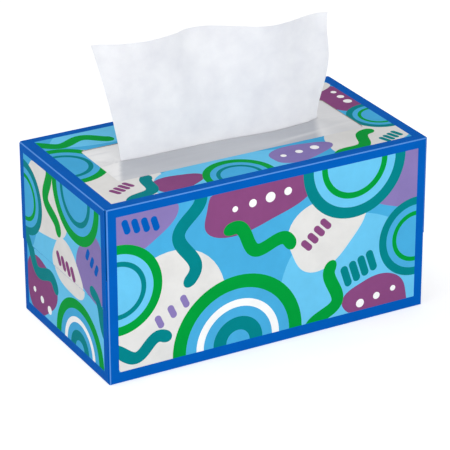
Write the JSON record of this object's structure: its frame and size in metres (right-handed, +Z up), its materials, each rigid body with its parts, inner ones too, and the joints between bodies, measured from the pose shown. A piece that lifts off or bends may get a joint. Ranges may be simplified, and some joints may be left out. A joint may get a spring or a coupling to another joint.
{
  "type": "tissue box",
  "caption": "Rectangular folded carton of interfolded paper tissues, with a slit film window in its top and one tissue drawn up ready to pull.",
  "frame": {"origin": "middle of the carton's base, on the surface that it stands on", "axes": "+X along the length to the right, +Y from the front face to the back, +Z up"},
  "size_m": [0.232, 0.1234, 0.1945],
  "materials": {
    "printed_board": "satin print",
    "clear_film": "hazy film",
    "stacked_tissue": "matte",
    "tissue": "matte"
  },
  "bodies": {
    "root": {"carton": "printed_board", "film_window": "clear_film", "tissue_stack": "stacked_tissue", "top_tissue": "tissue"}
  },
  "joints": []
}
